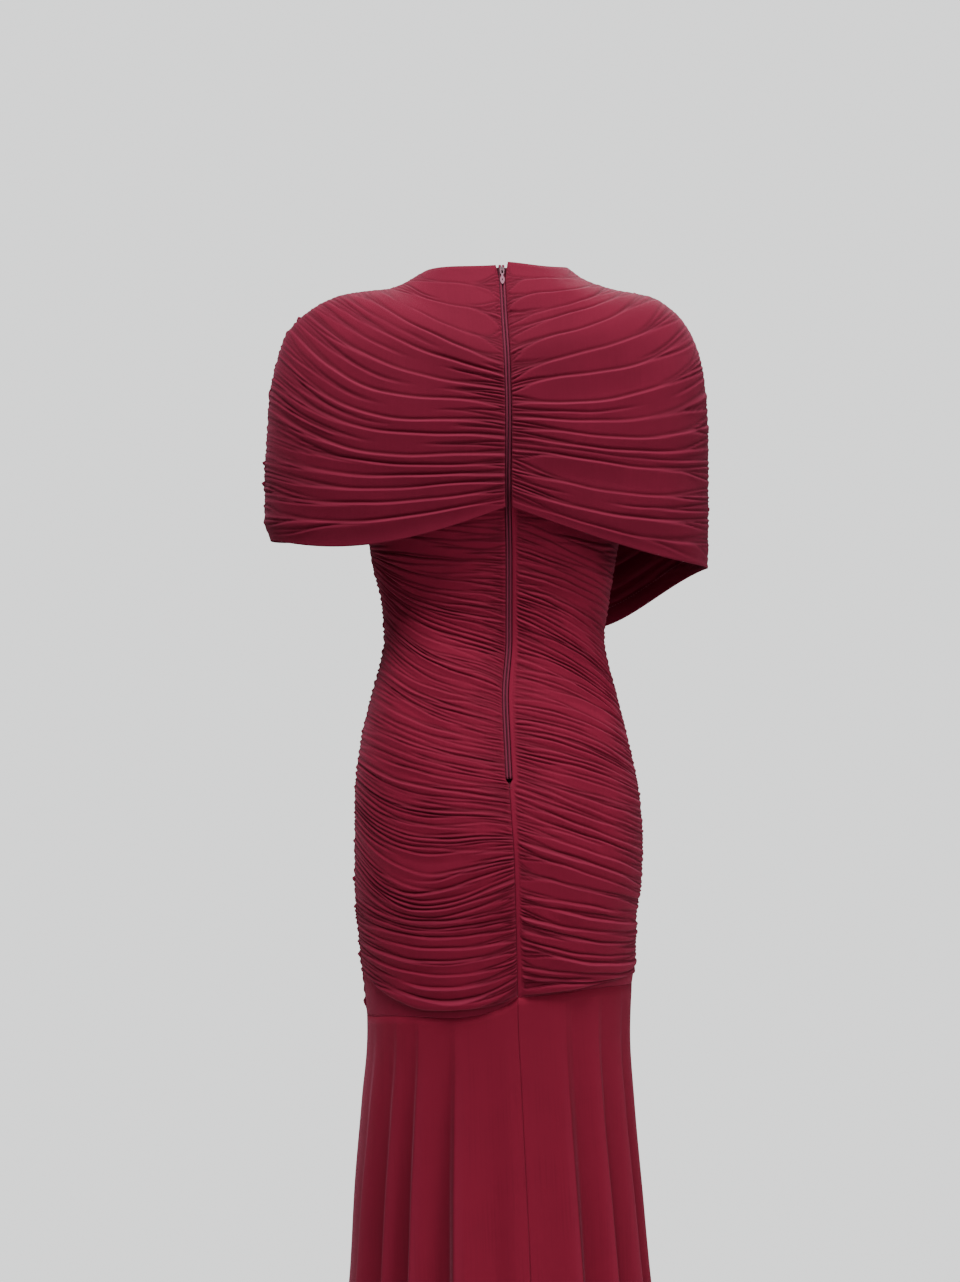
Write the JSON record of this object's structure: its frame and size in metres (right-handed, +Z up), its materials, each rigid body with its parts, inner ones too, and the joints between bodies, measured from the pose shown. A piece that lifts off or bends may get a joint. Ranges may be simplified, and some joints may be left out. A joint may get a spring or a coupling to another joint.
{
  "type": "mermaid gown",
  "caption": "Floor-length mermaid gown in gathered mesh jersey, with a draped shoulder cape and a centre back zip.",
  "frame": {"origin": "middle of the neck opening at shoulder level, where the wearer carries the gown", "axes": "+X to the wearer's left, +Y to the wearer's back, +Z up"},
  "size_m": [0.5022, 0.4344, 1.4719],
  "materials": {
    "drape_mesh": "matt stretch mesh, wine red",
    "bodice_mesh": "matt stretch mesh, wine red, finely gathered",
    "skirt_jersey": "matt jersey, wine red",
    "zip_tape": "woven tape, wine red",
    "zip_coil": "nylon coil, dark wine red",
    "zip_metal": "lacquered metal, dull wine red"
  },
  "bodies": {
    "gown": {"back_left_panel": "bodice_mesh", "back_right_panel": "bodice_mesh", "front_panel": "bodice_mesh", "cape_back_left": "drape_mesh", "cape_back_right": "drape_mesh", "cape_front": "drape_mesh", "skirt_back_left": "skirt_jersey", "skirt_back_right": "skirt_jersey", "skirt_front": "skirt_jersey", "zip_tape_left": "zip_tape", "zip_tape_right": "zip_tape", "zip_coil": "zip_coil", "zip_slider": "zip_metal"},
    "pull_tab": {"zip_pull": "zip_metal"}
  },
  "joints": [
    {"name": "pull_hinge", "type": "hinge", "parent": "gown", "child": "pull_tab", "pos_m": [-0.0022, 0.0698, 0.008], "axis": [1, 0, 0], "range_deg": [0, 160]}
  ]
}
